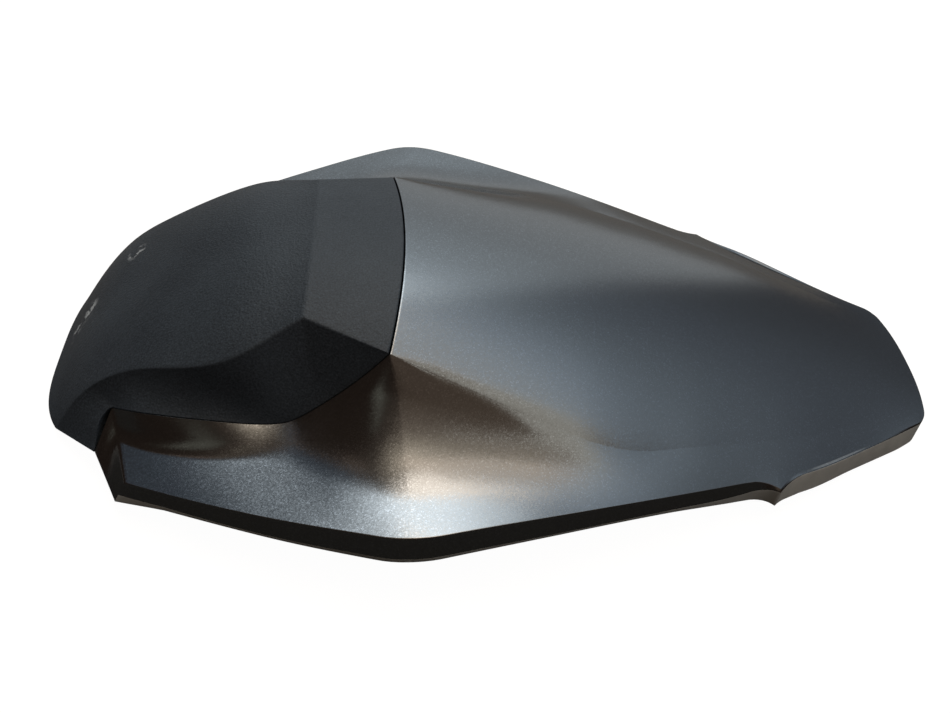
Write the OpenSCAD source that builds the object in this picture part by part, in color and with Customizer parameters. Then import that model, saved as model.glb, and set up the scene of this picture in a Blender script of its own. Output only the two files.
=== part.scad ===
// Single-seat cowl for a motorbike: a painted shell with a black rider stop, closed by a base pan.
// X runs from the rider's side to the tail, Z is up, and the rest plane is z = 0.
// Every outline is given for one side and mirrored.

/* [Painted shell outline] */
// Distance from the wing tips to the wide corners along X
tip_back = 103.7; // [95:0.1:112]
// Width over the wing tips, at the crease
tip_w = 160.2; // [150:0.1:170]
// Height of the crease at the wing tips
tip_h = 18.9; // [15:0.1:23]
// Width over the wide corners, at the crease, before the corners are rounded
wide_w = 231; // [220:0.5:244]
// Height of the crease at the wide corners
wide_h = 37.8; // [33:0.1:42]
// Softness of the wide corners, in plan
corner_soft = 6; // [3:0.5:12]
// Outward bow of the wing edge between tip and corner
wing_bow = 2.6; // [0:0.1:5]
// Distance from the wide corners to the notches
notch_back = 146; // [135:0.5:156]
// Width over the notches
notch_w = 156.6; // [148:0.1:166]
// Height of the crease at the notches
notch_h = 17.5; // [14:0.1:22]
// Outward flare of the edge at each notch
notch_flare = 5; // [0:0.1:8]
// Distance from the wide corners to the tail corners
tail_back = 228.5; // [218:0.5:240]
// Width over the tail corners
tail_w = 68; // [60:0.5:80]
// Height of the crease at the tail corners
tail_h = 8.9; // [7:0.1:12]
// Bow of the tail edge behind its corners
tail_bow = 4; // [2:0.1:8]
// Height of the crown at the tail edge, above the tail corners
tail_arch = 0.7; // [0.3:0.1:3]

/* [Painted shell surface] */
// Wall thickness of the painted shell
shell_wall = 2.5; // [2:0.1:3.5]
// Height of the crown behind the rider stop
crown_h = 68.8; // [64:0.1:74]
// Distance of that crown point in front of the wide corners
crown_fore = 3.7; // [1:0.1:7]
// Height of the ridge crease where it starts at the rider stop
ridge_h = 62.5; // [58:0.1:65]
// Fall of the ridge crease for each millimetre toward the tail
ridge_fall = 0.325; // [0.28:0.005:0.36]
// Outward run of the ridge crease for each millimetre toward the tail
ridge_spread = 0.26; // [0.2:0.01:0.3]
// Depth of the bevel at the wide corners
bevel_h = 8.2; // [6:0.1:10]
// Outward run of the bevel at the wide corners
bevel_out = 3.1; // [2:0.1:5]
// Depth of the plain flange below the bevel at the wide corners
flange_h = 3.2; // [2:0.1:4]
// Outward run of the plain flange at the tail corners
flange_out = 3.6; // [1:0.1:5]

/* [Rider stop] */
// Wall thickness of the rider stop
pad_wall = 2.6; // [2:0.1:3.5]
// Distance from the wide corners to the front lip of the rider stop
nose_fore = 150.6; // [142:0.1:158]
// Width of the joint arc between rider stop and shell
arc_w = 106.4; // [100:0.1:112]
// Setback of the ends of that arc
arc_bow = 4.9; // [2:0.1:8]
// Width over the front corners of the top band
band_w = 83.2; // [78:0.1:90]
// Length of the top band along the centre line
band_len = 35.3; // [30:0.1:42]
// Height of the top band's front crease
band_h = 71.8; // [69:0.1:76]
// Width over the side peaks
peak_w = 106; // [100:0.1:112]
// Height of the side peaks
peak_h = 55.7; // [52:0.1:59]
// Width over the widest part of the joint
joint_w = 125.6; // [120:0.1:130]
// Height of the joint along the wings
joint_h = 32.8; // [31:0.1:35]
// Width over the front ends of the joint, at the wing tips
joint_tip_w = 103; // [98:0.5:108]
// Height of the front ends of the joint
joint_tip_h = 26.6; // [24:0.1:29]
// Width over the lowest corners where stop and wing tips meet
root_w = 124.6; // [120:0.1:129]
// Height of those corners
root_h = 12.6; // [11:0.1:15]
// Width over the chin corners
chin_w = 90; // [84:0.5:98]
// Setback of the chin corners behind the front lip
chin_back = 10.6; // [7:0.1:14]
// Rise of the chin corners above the front lip
chin_rise = 5; // [3:0.1:8]
// Depth of the recess that the rider stop sits in
seat_step = 3.5; // [2.5:0.1:5]
// Clearance between rider stop and shell
pad_gap = 0.4; // [0.3:0.05:0.8]

/* [Base pan] */
// Thickness of the base pan
pan_t = 2.5; // [2:0.1:4]
// Clearance between base pan and shell wall
pan_gap = 0.5; // [0.3:0.1:1.2]
// Recess of the base pan above the shell's lower edge
pan_recess = 1; // [0.5:0.1:2]
// Height of the ribs on the base pan
rib_h = 2; // [1.4:0.1:2.4]
// Thickness of the ribs on the base pan
rib_t = 1.8; // [1.2:0.1:2.5]
// Width of the front tongue
tongue_w = 34; // [24:1:44]
// Reach of the front tongue in front of the pan
tongue_len = 22; // [16:1:26]
// Thickness of the front tongue
tongue_t = 4; // [3:0.5:5]

/* [Fixings] */
// Outer diameter of the screw bosses
boss_d = 9; // [8:0.5:11]
// Thread diameter of the screws
screw_d = 4; // [3.5:0.5:5]
// Head diameter of the screws
screw_head_d = 8; // [7:0.5:9]
// Head height of the screws
screw_head_h = 2.4; // [2:0.1:3]
// Thread length of the screws
screw_len = 11; // [9:1:12]
// Clearance of a screw in its hole
screw_gap = 0.3; // [0.2:0.05:0.5]
// Rod diameter of the lock striker
striker_d = 6; // [5:0.5:8]
// Distance between the legs of the striker, from axis to axis
striker_span = 26; // [22:1:34]
// Drop of the striker's bar below its plate
striker_drop = 16; // [13:0.5:18]
// Thickness of the striker plate
plate_t = 3; // [2:0.5:4]
// Distance from the wide corners back to the striker
striker_back = 40; // [34:1:48]
// Diameter of the rubber dampers
damper_d = 16; // [12:1:20]
// Height of the rubber dampers below the pan
damper_h = 7; // [5:0.5:8]

/* [Hidden] */
eps = 0.01;
round_fn = 48;
boss_fn = 28;

// The origin is in the middle of the length. The formulas below count X from the wide corners.
crown_end = tail_back + tail_bow;
middle_x = (crown_end - nose_fore) / 2;
module centred() translate([-middle_x, 0, 0]) children();

// Small functions for blending and for guides that pass through a few given points
function lerp(a, b, t) = a + (b - a) * t;
function ease(t) = let (s = min(1, max(0, t))) s * s * (3 - 2 * s);
function soft_min(a, b, k) = let (h = max(k - abs(a - b), 0) / k) min(a, b) - h * h * k / 4;
function chord(g, i) = (g[i + 1][1] - g[i][1]) / (g[i + 1][0] - g[i][0]);
function tangent(g, i) =
    i == 0 ? chord(g, 0) : i == len(g) - 1 ? chord(g, i - 1) : (chord(g, i - 1) + chord(g, i)) / 2;
function span_of(g, x, i = 0) = i >= len(g) - 2 || x < g[i + 1][0] ? i : span_of(g, x, i + 1);
function hermite(g, i, x) =
    let (d = g[i + 1][0] - g[i][0], t = (x - g[i][0]) / d, u = 1 - t)
    g[i][1] * u * u * (1 + 2 * t) + g[i + 1][1] * t * t * (1 + 2 * u)
    + d * (tangent(g, i) * t * u * u - tangent(g, i + 1) * t * t * u);
function via(g, x) = hermite(g, span_of(g, x), min(max(x, g[0][0]), g[len(g) - 1][0]));

// Crease along the rim: half width and height at a distance x behind the wide corners
wide_y = wide_w / 2;
notch_y = notch_w / 2;
tail_y = tail_w / 2;
flare_run = 14;
notch_dip = 1.4;
side_bow = 1.5;
side_slope = (notch_y - notch_flare - wide_y) / notch_back;
tail_slope = (tail_y - notch_y + notch_flare / 2) / (tail_back - notch_back);
function wing_y(x) = let (t = -x / tip_back) lerp(wide_y, tip_w / 2, t) + 4 * wing_bow * t * (1 - t);
function side_y(x) = wide_y + side_slope * x + side_bow * sin(180 * min(1, max(0, x / notch_back)));
function after_notch_y(x) = notch_y - notch_flare / 2 + tail_slope * (x - notch_back);
function plain_y(x) = soft_min(soft_min(wing_y(x), side_y(x), corner_soft), after_notch_y(x), 4);
function notch_reach(x) = pow(max(0, 1 - abs(x - notch_back) / flare_run), 2);
function rim_y(x) = plain_y(x) + (notch_y - plain_y(notch_back)) * notch_reach(x);
notch_top = notch_h + notch_dip;
rim_heights = [[-tip_back, tip_h], [-tip_back / 2, lerp(wide_h, tip_h, 0.47)],
    [-corner_soft, wide_h - 0.9], [corner_soft, wide_h - 0.5],
    [notch_back * 0.43, lerp(wide_h, notch_top, 0.31)], [notch_back, notch_top],
    [lerp(notch_back, tail_back, 0.6), lerp(notch_top, tail_h, 0.72)], [tail_back, tail_h]];
function plain_z(x) = via(rim_heights, x);
function rim_z(x) = plain_z(x) - notch_dip * notch_reach(x);

// The bevel and the flange below the crease, at a distance x behind the wide corners
notch_fore = notch_back - flare_run;
notch_aft = notch_back + flare_run;
bevel_shares = [[-tip_back, 0.66], [0, 1], [notch_back * 0.67, 0.72], [notch_fore, 0.55],
    [notch_back, 0.12], [tail_back, 0.08]];
run_shares = [[-tip_back, 0.6], [0, 1], [notch_back * 0.67, 0.75], [notch_fore, 0.6],
    [notch_back, 0.35], [notch_aft, 0.6], [tail_back, 0.15]];
flange_shares = [[-tip_back, 0], [notch_fore, 0], [notch_back, 0.2], [notch_back + 8, 0.8],
    [notch_aft, 0.85], [lerp(notch_back, tail_back, 0.5), 0.6], [tail_back, 1]];
flange_kink = notch_back * 0.8;
tail_flange = tail_h - bevel_h * 0.08;
flange_heights = [[-tip_back, flange_h * 1.4], [-tip_back * 0.85, flange_h * 0.8], [0, flange_h],
    [flange_kink, flange_h * 1.2], [flange_kink + 12, flange_h * 1.6], [notch_back, flange_h * 2.5],
    [lerp(notch_back, tail_back, 0.5), flange_h * 2.9], [tail_back, tail_flange]];
function bevel_drop(x) = bevel_h * via(bevel_shares, x);
function bevel_run(x) = bevel_out * via(run_shares, x);
function flange_drop(x) = via(flange_heights, x);
function flange_run(x) = bevel_run(x) + flange_out * via(flange_shares, x);
function low_z(x) = max(0, rim_z(x) - bevel_drop(x) - flange_drop(x));

// Joint between rider stop and shell: half width and height, from the wing tips to the ends of the arc
arc_x = -crown_fore - arc_bow;
arc_y = arc_w / 2;
joint_y = joint_w / 2;
tip_y = joint_tip_w / 2;
tip_joint_x = -tip_back - 9;
joint_widths = [[tip_joint_x, tip_y], [tip_joint_x * 0.89, lerp(tip_y, joint_y, 0.51)],
    [-76, joint_y - 0.8], [-60, joint_y], [-45.3, joint_y - 1], [-26.5, lerp(joint_y, arc_y, 0.64)],
    [arc_x, arc_y]];
joint_heights = [[tip_joint_x, joint_tip_h], [tip_joint_x * 0.89, lerp(joint_tip_h, joint_h, 0.71)],
    [-76, joint_h + 0.5], [-50.4, joint_h - 0.3], [-44.9, joint_h + 0.5],
    [-35.6, lerp(joint_h, ridge_h, 0.18)], [-26.5, lerp(joint_h, ridge_h, 0.39)],
    [-17.4, lerp(joint_h, ridge_h, 0.67)], [arc_x, ridge_h]];

// Ridge crease and crown behind the arc
function ridge_y(x) = soft_min(arc_y + ridge_spread * (x - arc_x), 0.8 * plain_y(x), 8);
function ridge_z(x) = ridge_h - ridge_fall * (x - arc_x);
crown_top = tail_h + tail_arch;
function crown_z(x) = let (t = (x + crown_fore) / (crown_end + crown_fore))
    lerp(crown_h, crown_top, 0.82 * t + 0.18 * t * t);

// The shell's upper surface. Row r runs from -1 (wing tips) over 0 (arc and wide corners) to 1 (tail edge).
// Column c runs from 0 (middle) over 1 (joint or ridge) to 2 (rim crease). The point has its y positive.
flank_curves = [[-1, 3.8], [-0.1, 3.3], [0, 3.2], [0.25, 2.4], [0.5, 1.4], [1, 1.2]];
tail_power = 2.5;
ridge_end = crown_end - tail_bow * pow(0.8, tail_power);
function inner_x(r) = r <= 0 ? lerp(arc_x, tip_joint_x, -r) : lerp(arc_x, ridge_end, r);
function rim_x(r) = r <= 0 ? tip_back * r : tail_back * r;
function inner_edge(r) = let (x = inner_x(r))
    r <= 0 ? [x, via(joint_widths, x), via(joint_heights, x)] : [x, ridge_y(x), ridge_z(x)];
function outer_edge(r) = let (x = rim_x(r)) [x, rim_y(x), rim_z(x)];
function plain_edge(r) = let (x = rim_x(r)) [x, plain_y(x), plain_z(x)];
function arch_share(r) = r <= 0 ? 0 : ease((r - 0.12) / 0.4);
function side_point(r, w) =
    let (a = inner_edge(r), b = plain_edge(r), x = lerp(a[0], b[0], w), y = lerp(a[1], b[1], w),
        notch = (outer_edge(r) - b) * pow(w, 4),
        flank = b[2] + (a[2] - b[2]) * pow(1 - w, via(flank_curves, r)),
        arch = r <= 0 ? 0 : arch_z(r, y / b[1]))
    [x, y, lerp(flank, arch, arch_share(r))] + notch;
function crown_x(r) = lerp(-crown_fore, crown_end, r);
function arch_z(r, s) = let (zc = crown_z(crown_x(r))) zc - (zc - plain_z(rim_x(r))) * pow(s, 1.9);
function top_point(r, v) =
    let (a = inner_edge(r), b = plain_edge(r), xc = crown_x(r), zc = crown_z(xc), y = a[1] * v,
        crown = zc - (zc - a[2]) * pow(v, 2.2))
    [lerp(xc, a[0], pow(v, lerp(2, tail_power, r))), y, lerp(crown, arch_z(r, y / b[1]), arch_share(r))];
// Under the rider stop the shell dips to a deck, ruled straight across below the joint
function deck_point(r, v) = let (a = inner_edge(r), bow = max(0, 1 + r * 8) * arc_bow)
    [a[0] + bow * (1 - v * v), a[1] * v, a[2] - seat_step];
function skin_point(r, c) = c >= 1 ? side_point(r, c - 1) : r < 0 ? deck_point(r, c) : top_point(r, c);

// The same surface moved inwards by t: down by the wall as it lies, in from the rim and the ends,
// behind the arc, and everywhere below the deck
function fall(r, c) = let (d = 0.04, a = skin_point(r, max(0, c - d)), b = skin_point(r, min(2, c + d)))
    abs(b[2] - a[2]) / max(0.1, b[1] - a[1]);
tail_thick = 1.8;
arc_share = 0.1;
function tail_in(r, t) = tail_thick * t * ease((r - 0.8) / 0.2);
function squeeze_x(x, t) = x > 0 ? x * (crown_end - t) / crown_end : x * (1 - t / tip_back);
function moved_in(r, c, t) =
    let (p = skin_point(r, c), b = outer_edge(r), a = inner_edge(r), y = p[1] * (b[1] - t) / b[1],
        s = r < 0 && c < 1 ? 0 : min(2.4, fall(r, c)), z = p[2] - t * sqrt(1 + s * s),
        arc = t * max(0, 1 - abs(r) / arc_share), under = t > 0 && r < 0 && y < a[1] + 1)
    [squeeze_x(p[0], t) + arc - tail_in(r, t), y, under ? min(z, a[2] - seat_step - t) : z];

// Sampling of rows and columns. Along the wings the rows follow those of the rider stop, so that both
// edges meet. The deck starts a small step inside the joint.
step_share = 0.003;
bend_u = 0.8;
band_u = 0.25;
peak_u = 0.45;
pad_foot_x = [[0, arc_x - pad_gap], [band_u, -35.4], [peak_u, -52], [bend_u, tip_joint_x],
    [1, tip_joint_x - 6.7]];
function wing_row(u) = (arc_x - via(pad_foot_x, u)) / (tip_joint_x - arc_x);
body_rows = concat([for (i = [0:10]) notch_fore * pow(i / 10, 1.15)],
    [for (s = [-0.6, -0.3, 0, 0.3, 0.6]) notch_back + s * flare_run],
    [for (i = [0:6]) lerp(notch_aft, tail_back, 1 - pow(1 - i / 6, 1.5))]) / tail_back;
function rows_list(u_step) = concat([for (u = [bend_u:-u_step:u_step / 2]) max(-1, wing_row(u))],
    [-step_share], body_rows);
function half_columns(n_top, n_side) = concat(
    [for (j = [0:n_top - 1]) lerp(0, 1 - step_share, j / (n_top - 1))],
    [for (j = [0:n_side]) 1 + pow(j / n_side, 1.3)]);
function both_sides(half) = concat([for (j = [len(half) - 1:-1:1]) -half[j]], half);
function signed(p, c) = [p[0], c < 0 ? -p[1] : p[1], p[2]];

// A closed body between a grid of points and stacked loops below its border, closed by a flat grid
function border(g) = let (n = len(g), m = len(g[0])) concat(
    [for (i = [0:n - 1]) g[i][0]], [for (j = [1:m - 1]) g[n - 1][j]],
    [for (i = [n - 2:-1:0]) g[i][m - 1]], [for (j = [m - 2:-1:1]) g[0][j]]);
function flat(lists) = [for (l = lists) for (p = l) p];
module lofted(grid, loops) {
    n = len(grid);
    m = len(grid[0]);
    ring = border([for (i = [0:n - 1]) [for (j = [0:m - 1]) i * m + j]]);
    k = len(ring);
    base = n * m;
    last = base + (len(loops) - 1) * k;
    function at(l, q) = l < 0 ? ring[q % k] : base + l * k + q % k;
    top = [for (i = [0:n - 2]) for (j = [0:m - 2]) let (a = i * m + j)
        each (j < m / 2 - 0.5) ? [[a, a + 1, a + m + 1], [a, a + m + 1, a + m]]
                               : [[a, a + 1, a + m], [a + 1, a + m + 1, a + m]]];
    half = (m - 1) / 2;
    walls = [for (l = [0:len(loops) - 1]) for (q = [0:k - 1])
        let (a = at(l - 1, q), b = at(l - 1, q + 1), c = at(l, q + 1), d = at(l, q))
        each (q < n - 1 + half || q >= k - half) ? [[a, b, c], [a, c, d]] : [[a, b, d], [b, c, d]]];
    // The left side of the ring is its first n points, the right side runs back from point n + m - 2
    sides = [for (i = [0:n - 2]) let (a = last + i, b = a + 1, c = last + 2 * n + m - 3 - i, d = c - 1)
        each [[a, b, c], [b, d, c]]];
    front = [for (q = [2 * n + m - 3:k - 1]) [last, last + q, last + (q + 1) % k]];
    rear = [for (q = [n - 1:n + m - 3]) [last + n - 1, last + q, last + q + 1]];
    ends = concat([for (t = front) if (t[2] != last) t], [for (t = rear) if (t[1] != t[0]) t]);
    polyhedron(points = concat(flat(grid), flat(loops)), faces = concat(top, walls, sides, ends));
}

// Points below the border of the shell: level 1 ends the bevel, level 2 ends the flange
tip_lean = 4.7;
tail_lean = 2.5;
foot_share = 0.45;
foot_slack = 0.8;
root_x = via(pad_foot_x, 1);
root_y = root_w / 2;
function foot_x(x) = x - tip_lean * max(0, 1 - (x + tip_back) / 15)
    - tail_lean * max(0, 1 - (tail_back - x) / 14);
function side_foot(r, level, t) =
    let (p = outer_edge(r), low = low_z(p[0]), bevel = bevel_drop(p[0]),
        drop = t > 0 ? max(bevel, t + 0.6) : bevel,
        x = level == 1 ? lerp(p[0], foot_x(p[0]), min(1, drop / (p[2] - low))) : foot_x(p[0]))
    [squeeze_x(x, t) - 0.4 * level * tail_in(r, t),
        p[1] + (level == 1 ? bevel_run(p[0]) : flange_run(p[0])) - t,
        level == 1 ? p[2] - drop : low - foot_slack * t];
function root_foot(s, t) = [squeeze_x(root_x, t), s * (root_y - t), root_h - foot_slack * t];
function front_foot(c, level, t) =
    let (p = moved_in(-1, c, t), tip = side_foot(-1, 2, t),
        low = c < 1 ? root_foot(c, t) : lerp(root_foot(1, t), tip, c - 1),
        corner = lerp(moved_in(-1, 2, t), tip, foot_share))
    level == 2 ? low : lerp(p, low, foot_share) + (side_foot(-1, 1, t) - corner) * ease(c - 1);
function rear_foot(c, level, t) =
    let (p = moved_in(1, c, t), q = moved_in(1, 2, t), s = side_foot(1, level, t))
    [p[0] - q[0] + s[0], p[1] / q[1] * s[1], level == 2 ? s[2] : p[2] - q[2] + s[2]];
function shell_grid(rows, cols, t) =
    [for (r = rows) [for (c = cols) signed(moved_in(r, abs(c), t), c)]];
function shell_foot(r, c, level, t) =
    r == 1 ? rear_foot(c, level, t) : r == -1 ? front_foot(c, level, t) : side_foot(r, level, t);
function shell_loop(rows, cols, level, t) =
    border([for (r = rows) [for (c = cols) signed(shell_foot(r, abs(c), level, t), c)]]);
module shell_body(t, rows, cols) {
    lofted(shell_grid(rows, cols, t), [shell_loop(rows, cols, 1, t), shell_loop(rows, cols, 2, t)]);
}

u_step = 0.05;
outer_rows = rows_list(u_step);
outer_cols = both_sides(half_columns(6, 9));
inner_cols = both_sides(half_columns(3, 5));

// Rider stop. Row u runs from 0 (arc) over the band's front crease and the side peaks to 1 (front lip).
// Column c runs from 0 (middle) over 1 (band edge, peaks and chin) to 2 (joint, then the lower edge
// beside the wing tips).
nose_x = -nose_fore;
chin_u = 0.7;
lip_u = 0.85;
pad_mid_x = [[0, -crown_fore - pad_gap], [band_u, -crown_fore - band_len], [peak_u, -68.5], [chin_u, -108],
    [lip_u, nose_x + 20], [1, nose_x]];
pad_mid_z = [[0, crown_h], [band_u, band_h], [peak_u, lerp(peak_h, band_h, 0.58)], [chin_u, band_h - 27],
    [lip_u, band_h - 43], [1, 0]];
pad_edge_x = [[0, arc_x - pad_gap], [band_u, -40.1], [peak_u, -68.5], [chin_u, -108], [lip_u, -126],
    [1, nose_x + chin_back]];
pad_edge_y = [[0, arc_y - pad_gap], [band_u, band_w / 2], [peak_u, peak_w / 2], [chin_u, chin_w / 2],
    [1, chin_w / 2]];
pad_edge_z = [[0, ridge_h], [band_u, band_h - 3.8], [peak_u, peak_h], [chin_u, peak_h - 15.9],
    [lip_u, peak_h - 30], [1, chin_rise]];
// The top band is straight from the arc to its front crease, and a smooth guide runs on from there
function after_band(g) = [for (i = [1:len(g) - 1]) g[i]];
function guide(g, u) = u < band_u ? lerp(g[0][1], g[1][1], u / band_u) : via(after_band(g), u);
function edge_of(u) = [guide(pad_edge_x, u), guide(pad_edge_y, u), guide(pad_edge_z, u)];
function foot_of(u) = let (x = via(pad_foot_x, u), t = max(0, (u - bend_u) / (1 - bend_u)))
    u <= bend_u ? [x, via(joint_widths, x) - pad_gap, via(joint_heights, x)]
                : [x - pad_gap, lerp(tip_y, root_y, t) - pad_gap, lerp(joint_tip_h, root_h, t)];
function pad_point(u, c) =
    let (e = edge_of(u), xc = guide(pad_mid_x, u), zc = guide(pad_mid_z, u), q = foot_of(u), w = c - 1,
        round_over = lerp(2, 2.6, ease((u - 0.2) / 0.3)), scoop = 2.6 * ease((u - 0.4) / 0.15) * (1 - u))
    c <= 1 ? [lerp(xc, e[0], pow(c, lerp(2, 3, u))), e[1] * c, lerp(zc, e[2], pow(c, round_over))]
           : lerp(e, q, w) - [0, 1, 1] * scoop * 4 * w * (1 - w);
function pad_fall(u, c) = let (d = 0.05, a = pad_point(u, max(0, c - d)), b = pad_point(u, min(2, c + d)))
    abs(b[2] - a[2]) / max(1, abs(b[1] - a[1]));
function pad_run(u, c) = let (d = 0.03, a = pad_point(max(0, u - d), c), b = pad_point(min(1, u + d), c))
    abs(b[2] - a[2]) / max(1, abs(b[0] - a[0]));
function pad_in(u, c, t) =
    let (p = pad_point(u, c), f = foot_of(u), s = min(1.6, norm([pad_fall(u, c), pad_run(u, c)])),
        front = t * ease((u - 0.75) / 0.25), rear = t * ease(1 - u / 0.12))
    [p[0] + front - rear, p[1] * (f[1] - t) / f[1],
        max(p[2] - t * sqrt(1 + s * s), u > 0.99 ? 0.3 * t : -band_h)];
// Underside of the rider stop: just above the deck, then just in front of the shell's front wall
foot_drop = seat_step - pad_gap;
function pad_base(u, c, t) =
    let (p = pad_in(u, c, t), f = foot_of(u), bow = max(0, 1 - u * 8),
        g = ease((u - bend_u + 0.1) / 0.15))
    [lerp(f[0], p[0] - pad_gap / 2, bow) + t * g, p[1], f[2] - lerp(foot_drop, 0.8, g) - 3 * t];

// A closed body between an upper and a lower grid of points with the same number of rows and columns
module pillow(upper, lower) {
    n = len(upper);
    m = len(upper[0]);
    k = n * m;
    ring = border([for (i = [0:n - 1]) [for (j = [0:m - 1]) i * m + j]]);
    quads = [for (i = [0:n - 2]) for (j = [0:m - 2]) let (a = i * m + j) [a, a + 1, a + m + 1, a + m]];
    top = [for (q = quads) each [[q[0], q[2], q[1]], [q[0], q[3], q[2]]]];
    bottom = [for (q = quads) each [[k + q[0], k + q[1], k + q[2]], [k + q[0], k + q[2], k + q[3]]]];
    walls = [for (i = [0:len(ring) - 1]) let (a = ring[i], b = ring[(i + 1) % len(ring)])
        each [[a, k + b, b], [a, k + a, k + b]]];
    polyhedron(points = concat(flat(upper), flat(lower)), faces = concat(top, bottom, walls));
}
module pad_body(t, rows, cols) {
    pillow([for (u = rows) [for (c = cols) signed(pad_in(u, abs(c), t), c)]],
        [for (u = rows) [for (c = cols) signed(pad_base(u, abs(c), t), c)]]);
}
pad_rows = [for (u = [0:u_step:1 + eps]) min(1, u)];
pad_cols = both_sides(concat([for (j = [0:6]) j / 7], [for (j = [0:5]) 1 + j / 5]));
pad_inner_cols = both_sides(concat([for (j = [0:3]) j / 4], [for (j = [0:3]) 1 + j / 3]));

// Base pan: height of its lower face and half width
pan_front = -tip_back + 2.2;
pan_rear = tail_back - 2 * shell_wall - 15;
pan_stations = [pan_front, -60, 0, notch_back * 0.4, flange_kink, notch_back + 4,
    lerp(notch_back, pan_rear, 0.6), pan_rear];
pan_line = [for (x = pan_stations) [x, low_z(x) + pan_recess]];
function pan_z(x) = lookup(x, pan_line);
function pan_tilt(x) = atan((pan_z(x + 1) - pan_z(x - 1)) / 2);
tail_narrow = 5;
function pan_y(x) = min(rim_y(x), side_y(x) - notch_flare * 0.4) - shell_wall - pan_gap + bevel_run(x) * 0.3
    - tail_narrow * ease((x - notch_aft - 10) / 30);
pan_edge_x = [for (i = [0:36]) lerp(pan_front, pan_rear, i / 36)];

// Places of the fixings, for one side
shell_screw_at = [[-80, 54], [20, 60], [125, 38]];
pad_screw_at = [[-62, 30], [-88, 28]];
damper_at = [[-45, 70], [150, 34]];
bolt_y = striker_span / 2 + 11;
bolt_d = 6;
bolt_head_d = 10;
bolt_head_h = 4;
nut_h = 5;
damper_neck_d = 6;
damper_neck_gap = 0.4;
pilot_d = screw_d + 0.2;
boss_reach = 40;
screw_clear_d = screw_d + 2 * screw_gap;
head_clear_d = screw_head_d + 2 * screw_gap;
seat_d = boss_d + 4;
seat_rise = 1.5;
seat_dip = 1.4;
head_space = screw_head_h + screw_gap;
function seat_top(x) = pan_z(x) + pan_t + seat_rise;
function head_top(x) = pan_z(x) - seat_dip + head_space;
function deck_z(x) = via(joint_heights, x) - seat_step;
function pad_seat(x) = deck_z(x) - shell_wall - 1;
module each_side(places) {
    for (p = places, s = [-1, 1]) translate([p[0], s * p[1], 0]) children();
}

// A moulded screw boss with two gussets, standing on z0
module boss(z0, height) {
    translate([0, 0, z0]) cylinder(d = boss_d, h = height, $fn = boss_fn);
    for (a = [0, 90]) rotate([0, 0, a]) hull() {
        translate([0, 0, z0 + height * 0.45]) cube([boss_d, rib_t, eps], center = true);
        translate([0, 0, z0 + height]) cube([boss_d * 2, rib_t, eps], center = true);
    }
}
module painted_shell() color("#3a3e42") centred() difference() {
    union() {
        difference() {
            shell_body(0, outer_rows, outer_cols);
            shell_body(shell_wall, outer_rows, inner_cols);
        }
        intersection() {
            shell_body(shell_wall * 0.5, outer_rows, inner_cols);
            for (p = shell_screw_at) each_side([p]) boss(seat_top(p[0]), boss_reach);
        }
        for (p = pad_screw_at) each_side([p])
            translate([0, 0, pad_seat(p[0])]) cylinder(d = seat_d, h = shell_wall, $fn = boss_fn);
    }
    for (p = shell_screw_at) each_side([p])
        translate([0, 0, seat_top(p[0]) - 1]) cylinder(d = pilot_d, h = screw_len - 1.4, $fn = boss_fn);
    for (p = pad_screw_at) each_side([p])
        translate([0, 0, deck_z(p[0]) - 6]) cylinder(d = screw_clear_d, h = 12, $fn = boss_fn);
}
module front_pad() color("#23272b") centred() difference() {
    union() {
        difference() {
            pad_body(0, pad_rows, pad_cols);
            pad_body(pad_wall, pad_rows, pad_inner_cols);
        }
        intersection() {
            pad_body(pad_wall * 0.5, pad_rows, pad_inner_cols);
            for (p = pad_screw_at) each_side([p]) boss(deck_z(p[0]) + 0.3, boss_reach);
        }
    }
    for (p = pad_screw_at) each_side([p])
        translate([0, 0, deck_z(p[0]) - 1]) cylinder(d = pilot_d, h = screw_len, $fn = boss_fn);
}

module pan_slab(below, above, from = pan_front, to = pan_rear) {
    line = concat([from], [for (x = pan_stations) if (x > from && x < to) x], [to]);
    rotate([90, 0, 0]) linear_extrude(height = 2 * wide_w, center = true)
        polygon(concat([for (x = line) [x, pan_z(x) + below]],
            [for (i = [len(line) - 1:-1:0]) [line[i], pan_z(line[i]) + above]]));
}
module pan_outline(share = 1) {
    polygon(concat([for (x = pan_edge_x) [x, pan_y(x) * share]],
        [for (i = [len(pan_edge_x) - 1:-1:0]) [pan_edge_x[i], -pan_y(pan_edge_x[i]) * share]]));
}
rib_rows = [-74, -15, 62, 100, 140, 180];
rib_lines = [18, 46];
module pan_ribs() {
    intersection() {
        union() {
            for (x = rib_rows)
                translate([x - rib_t / 2, -wide_w / 2, 0]) cube([rib_t, wide_w, wide_h + rib_h]);
            for (y = rib_lines, s = [-1, 1])
                translate([pan_front + 6, s * y - rib_t / 2, 0])
                    cube([pan_rear - pan_front - 30, rib_t, wide_h + rib_h]);
        }
        pan_slab(pan_t / 2, pan_t + rib_h);
        linear_extrude(height = wide_h + 20) pan_outline(0.7);
    }
}
block_dip = 2.5;
block_rise = 2;
striker_z = pan_z(striker_back) - block_dip;
block_top = striker_z + block_dip + pan_t + block_rise;
plate_len = 24;
plate_w = striker_span + 32;
block_rim = 5;
block_len = plate_len + 2 * block_rim;
block_w = plate_w + 2;
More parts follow.
